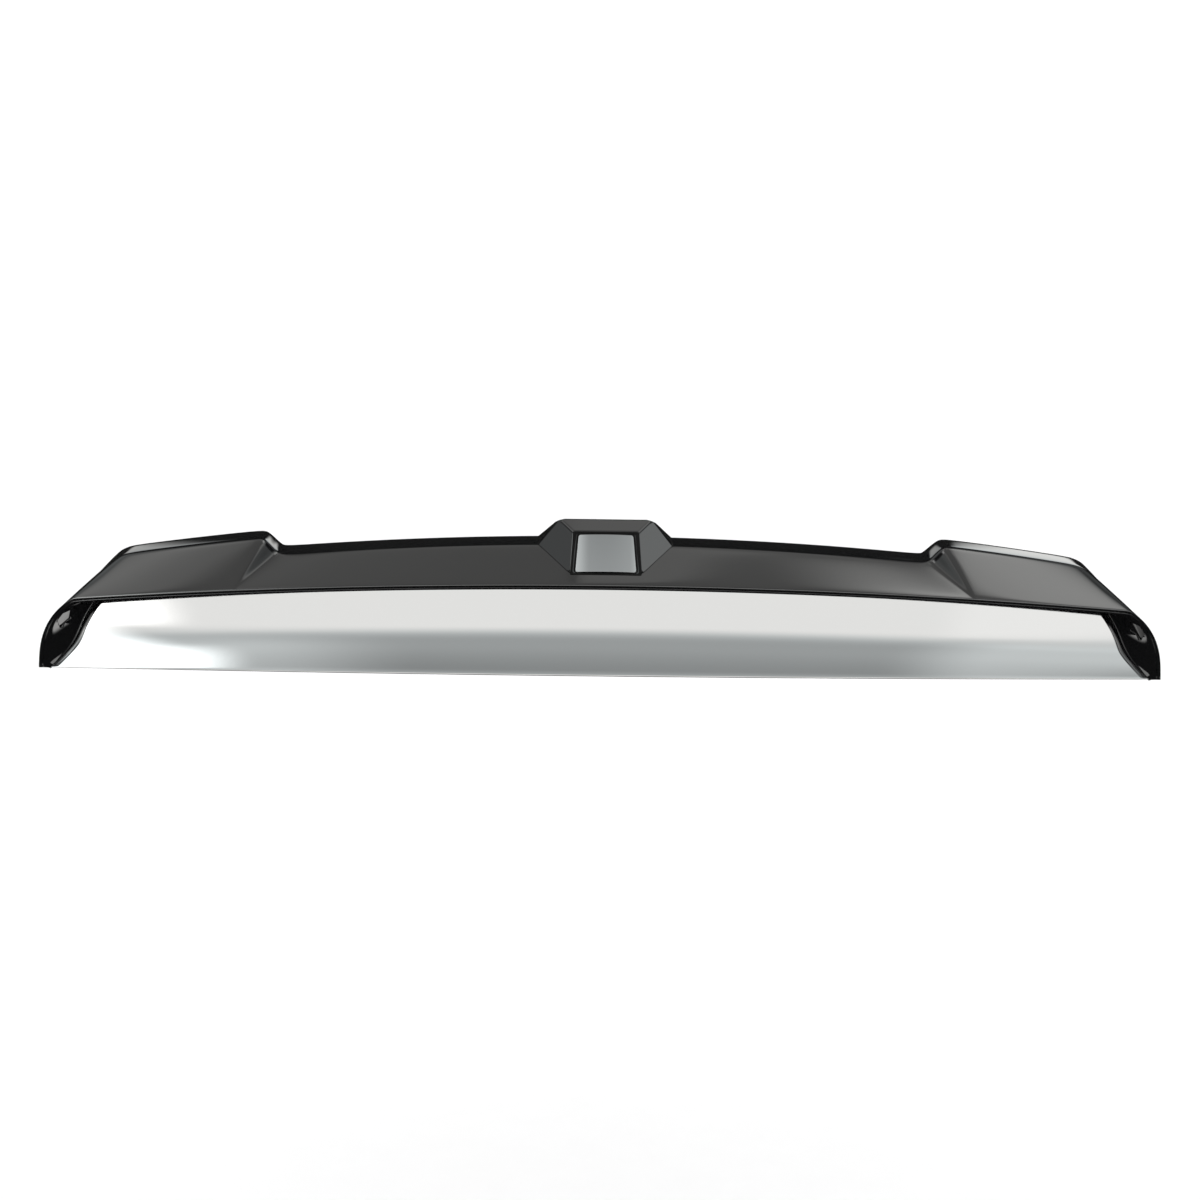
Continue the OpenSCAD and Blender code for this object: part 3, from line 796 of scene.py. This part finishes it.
# %% Grain of a moulding
grain, grain_in, grain_out = new_group("mould_grain", relief_inputs, ["Height", "Patches"])
place = object_place(grain)
cells = grain.nodes.new("ShaderNodeTexVoronoi")
grain.links.new(place, cells.inputs["Vector"])
grain.links.new(grain_in.outputs["Scale"], cells.inputs["Scale"])
pits = math_node(grain, "MULTIPLY", cells.outputs["Distance"], grain_in.outputs["Depth"])
grain.links.new(pits, grain_out.inputs["Height"])
grain.links.new(noise_at(grain, place, 20.0, 4.0), grain_out.inputs["Patches"])
print("shader groups:", [group.name for group in (paint_waves, dust, grain)])

# %% One builder for the finishes
dust_colour = (0.2, 0.2, 0.19)


def mixed(tree, factor, first, second):
    node = tree.nodes.new("ShaderNodeMix")
    node.data_type = "RGBA"
    tree.links.new(factor, node.inputs["Factor"])
    node.inputs["A"].default_value = (*first, 1)
    node.inputs["B"].default_value = (*second, 1)
    return node.outputs["Result"]


def ranged(tree, value, low, high):
    node = tree.nodes.new("ShaderNodeMapRange")
    tree.links.new(value, node.inputs["Value"])
    node.inputs["To Min"].default_value = low
    node.inputs["To Max"].default_value = high
    return node.outputs["Result"]


def finish(name, surface, scale, depth, colours, roughness, dusty=0.0, constants=()):
    """A material from a surface group and dust: two colours, a range of roughness and a relief."""
    material = bpy.data.materials.new(name)
    material.use_nodes = True
    tree = material.node_tree
    shader = tree.nodes["Principled BSDF"]
    relief = tree.nodes.new("ShaderNodeGroup")
    relief.node_tree = surface
    relief.inputs["Scale"].default_value = scale
    relief.inputs["Depth"].default_value = 1.0
    bump = tree.nodes.new("ShaderNodeBump")
    bump.inputs["Distance"].default_value = depth
    tree.links.new(relief.outputs["Height"], bump.inputs["Height"])
    tree.links.new(bump.outputs["Normal"], shader.inputs["Normal"])
    tint = mixed(tree, relief.outputs["Patches"], *colours)
    rough = ranged(tree, relief.outputs["Patches"], *roughness)
    if dusty:
        film = tree.nodes.new("ShaderNodeGroup")
        film.node_tree = dust
        film.inputs["Amount"].default_value = dusty
        cover = tree.nodes.new("ShaderNodeMix")
        cover.data_type = "RGBA"
        tree.links.new(film.outputs["Mask"], cover.inputs["Factor"])
        tree.links.new(tint, cover.inputs["A"])
        cover.inputs["B"].default_value = (*dust_colour, 1)
        tint = cover.outputs["Result"]
        rough = math_node(tree, "ADD", rough, film.outputs["Mask"])
    tree.links.new(tint, shader.inputs["Base Color"])
    tree.links.new(rough, shader.inputs["Roughness"])
    for socket, value in constants:
        shader.inputs[socket].default_value = value
    return material


def dress(piece, material):
    piece.data.materials.clear()
    piece.data.materials.append(material)


# %% [markdown]
# ## Finishes
# The shells are ABS with black paint and clear lacquer, so they have almost no colour of their own:
# what shows is the studio, mirrored in them. The recessed wall, the skirt and the window look light
# in the photograph. Brighter lights alone would also whiten the deck in other views, so these
# pieces have a lacquer that mirrors more strongly. The hardware is zinc-plated steel, nylon, foam
# and rubber, each duller and more uneven than the paint.

# %% Gloss black, smoked window and the hidden side
lacquer_ior, strong_ior = 1.5, 2.6
black_paint = ((0.0032, 0.0033, 0.0036), (0.0042, 0.0043, 0.0046))


def painted(name, ior):
    return finish(name, paint_waves, 170.0, 0.000004, black_paint, (0.03, 0.06), dusty=0.05,
                  constants=(("IOR", ior),))


gloss_black = painted("gloss_black", lacquer_ior)
bright_lacquer = painted("bright_lacquer", strong_ior)
smoked = finish("smoked_window", paint_waves, 60.0, 0.000002,
                ((0.010, 0.011, 0.012), (0.014, 0.015, 0.016)), (0.02, 0.05), dusty=0.04,
                constants=(("IOR", strong_ior),))
pan_black = finish("bare_moulding", grain, 900.0, 0.00005,
                   ((0.012, 0.012, 0.013), (0.02, 0.02, 0.021)), (0.35, 0.5), dusty=0.1)
for piece, node in black_skins:
    dress(piece, bright_lacquer if piece is rear_wall else gloss_black)
for piece in hidden_side:
    dress(piece, pan_black)
dress(window_pane, smoked)

# %% Rubber, foam, zinc and nylon
rubber = finish("black_rubber", grain, 1500.0, 0.00004,
                ((0.004, 0.004, 0.004), (0.008, 0.008, 0.008)), (0.6, 0.75), dusty=0.05,
                constants=(("Specular IOR Level", 0.05),))
foam = finish("foam", grain, 700.0, 0.0002, ((0.02, 0.02, 0.02), (0.04, 0.04, 0.04)), (0.85, 0.95))
zinc = finish("zinc_steel", grain, 400.0, 0.00001, ((0.5, 0.5, 0.48), (0.62, 0.62, 0.6)),
              (0.25, 0.45), constants=(("Metallic", 1.0),))
nylon = finish("natural_nylon", grain, 900.0, 0.00002, ((0.62, 0.6, 0.52), (0.72, 0.7, 0.62)),
               (0.35, 0.5), dusty=0.05, constants=(("Subsurface Weight", 0.1),))
for name, material in (("front_seal", rubber), ("foam_washers", foam), ("mount_studs", zinc),
                       ("retaining_clips", nylon)):
    dress(nodes[name], material)
dress(window_frame, rubber)
print("rubber, foam, zinc and nylon dress", window_frame.name, "and four CAD nodes")

# %% [markdown]
# ## Floor and light
# The floor is plain and pale, and lies so deep that the part throws no shadow that shows. A
# polished black part is lit by what it mirrors, so the studio is drawn as soft panels of light by
# direction: rays that bounce off the gloss see the panels, while the camera and the matt surfaces
# see an even pale room. The panels end at the horizon, so that faces that lean down stay black. Only
# two low cards stand below it, which light the pockets in the ears.

# %% Floor
floor_half, floor_z = 8, -0.7
floor_mesh = bpy.data.meshes.new("floor")
floor_corners = [(x * floor_half, y * floor_half, 0) for x, y in ((-1, -1), (1, -1), (1, 1), (-1, 1))]
floor_mesh.from_pydata(floor_corners, [], [(0, 1, 2, 3)])
floor = in_scene("floor", floor_mesh)
floor.location.z = floor_z
pale = finish("pale_floor", grain, 300.0, 0.00002, ((0.88, 0.88, 0.88), (0.9, 0.9, 0.9)), (0.8, 0.9))
dress(floor, pale)
floor.visible_glossy = False

# %% The panels
panels = (
    # azimuth from straight behind the camera, elevation, half width, half height, softness, strength
    (2, -2, 44, 28, 9, 2.15),  # tall wall of light behind the camera
    (2, 14, 44, 28, 5, 1.6),  # its dimmer upper part, which the skirt sees
    (-36, -6, 12, 25, 3, 5.2),  # window at the left, low
    (-39, 26, 11, 12, 3, 5.6),  # window at the left, middle
    (-34.5, 44, 10, 6, 3, 5.6),  # window at the left, high
    (-25, 40, 9, 8, 6, 1.0),  # glow beside it
    (33, 0, 12, 22, 1.5, 0.28),  # second screen at the right
    (34, 36, 10, 8, 4, 1.1),  # its upper end
    (0, 82, 180, 22, 6, 0.97),  # ceiling
    (-105, 64, 22, 6, 7, 1.1),  # ceiling edge at the left
    (-122, 48, 20, 14, 8, 0.8),  # glow below it
    (105, 64, 30, 7, 6, 3.4),  # ceiling lamp at the right
    (135, 48, 14, 16, 8, 0.4),  # glow below it
    (-73, 27, 10, 9, 5, 1.05),  # small side cards for the pod
    (76, 27, 10, 9, 5, 2.8),
    (170, 80, 30, 8, 5, 0.6),  # far end of the ceiling
    (60, 54, 15, 9, 5, 0.9),  # dim cards for the steps up to the wings
    (-52, 55, 14, 8, 5, 1.2),
    (156.5, 25, 6.5, 6.5, 2, 2.6),  # cards in front of the part, for the wings' flanks
    (-159.5, 25, 3.5, 5.5, 1.5, 1.4),
    (-77, 60, 14, 3, 3, 3.8),  # cards for the line along the lip
    (62, 58, 12, 4, 3, 1.2),
    (72, -50, 14, 8, 5, 6.0),  # low cards for the ears' pockets
    (-84, -48, 20, 8, 5, 4.0),
)
lowest_cards, horizon_fade = -40.0, (0.0, 4.0)

# %% A shader group for one panel
panel, panel_in, panel_out = new_group("light_panel", [
    ("Azimuth", 0.0), ("Elevation", 0.0), ("Middle", 0.0), ("Height", 0.0), ("Half Width", 20.0),
    ("Half Height", 10.0), ("Softness", 8.0), ("Strength", 1.0)], ["Light"])


def soft_side(angle, middle, reach):
    """One inside the panel, zero outside, and a soft ramp between."""
    off = math_node(panel, "ABSOLUTE", math_node(panel, "SUBTRACT", angle, middle))
    ramp = panel.nodes.new("ShaderNodeMapRange")
    ramp.interpolation_type = "SMOOTHSTEP"
    softness = panel_in.outputs["Softness"]
    panel.links.new(math_node(panel, "SUBTRACT", off, reach), ramp.inputs["Value"])
    panel.links.new(softness, ramp.inputs["From Max"])
    panel.links.new(math_node(panel, "MULTIPLY", softness, -1.0), ramp.inputs["From Min"])
    ramp.inputs["To Min"].default_value = 1.0
    ramp.inputs["To Max"].default_value = 0.0
    return ramp.outputs["Result"]


asked = panel_in.outputs
across = soft_side(asked["Azimuth"], asked["Middle"], asked["Half Width"])
upright = soft_side(asked["Elevation"], asked["Height"], asked["Half Height"])
glow = math_node(panel, "MULTIPLY", math_node(panel, "MULTIPLY", across, upright), asked["Strength"])
panel.links.new(glow, panel_out.inputs["Light"])

# %% The studio that the gloss sees
world = bpy.data.worlds.new("studio")
bpy.context.scene.world = world
world.use_nodes = True
sky = world.node_tree
sky.nodes.clear()
direction = sky.nodes.new("ShaderNodeSeparateXYZ")
sky.links.new(sky.nodes.new("ShaderNodeTexCoord").outputs["Generated"], direction.inputs[0])
to_degrees = 180 / math.pi
behind = math_node(sky, "MULTIPLY", direction.outputs["Y"], -1.0)
azimuth = math_node(sky, "MULTIPLY", math_node(sky, "ARCTAN2", direction.outputs["X"], behind), to_degrees)
elevation = math_node(sky, "MULTIPLY", math_node(sky, "ARCSINE", direction.outputs["Z"]), to_degrees)
horizon = sky.nodes.new("ShaderNodeMapRange")
horizon.interpolation_type = "SMOOTHSTEP"
sky.links.new(elevation, horizon.inputs["Value"])
for label, value in zip(("From Min", "From Max"), horizon_fade):
    horizon.inputs[label].default_value = value
unlit, panel_sockets = 0.02, ("Middle", "Height", "Half Width", "Half Height", "Softness", "Strength")
total = unlit
for values in panels:
    node = sky.nodes.new("ShaderNodeGroup")
    node.node_tree = panel
    sky.links.new(azimuth, node.inputs["Azimuth"])
    sky.links.new(elevation, node.inputs["Elevation"])
    for label, value in zip(panel_sockets, values):
        node.inputs[label].default_value = value
    shown = node.outputs["Light"]
    if values[1] > lowest_cards:
        shown = math_node(sky, "MULTIPLY", shown, horizon.outputs["Result"])
    total = math_node(sky, "ADD", shown, total)

# %% Its colour, the pale room and the world's output
warm, cool = (1.0, 1.0, 0.98), (0.95, 1.0, 1.0)
cool_height, cool_reach, room_strength = 40.0, 20.0, 1.22
studio = sky.nodes.new("ShaderNodeBackground")
sky.links.new(total, studio.inputs["Strength"])
off_height = math_node(sky, "ABSOLUTE", math_node(sky, "SUBTRACT", elevation, cool_height))
coolness = sky.nodes.new("ShaderNodeMapRange")
coolness.inputs["From Min"].default_value = cool_reach
coolness.inputs["From Max"].default_value = cool_reach / 2
sky.links.new(off_height, coolness.inputs["Value"])
sky.links.new(mixed(sky, coolness.outputs["Result"], warm, cool), studio.inputs["Color"])
room = sky.nodes.new("ShaderNodeBackground")
room.inputs["Color"].default_value = (1, 1, 1, 1)
room.inputs["Strength"].default_value = room_strength
chooser = sky.nodes.new("ShaderNodeMixShader")
sky.links.new(sky.nodes.new("ShaderNodeLightPath").outputs["Is Glossy Ray"], chooser.inputs[0])
sky.links.new(room.outputs[0], chooser.inputs[1])
sky.links.new(studio.outputs[0], chooser.inputs[2])
world_out = sky.nodes.new("ShaderNodeOutputWorld")
sky.links.new(chooser.outputs[0], world_out.inputs[0])
world.cycles.sampling_method = "NONE"
bpy.context.scene.view_settings.view_transform = "Standard"
print("light panels:", len(panels))
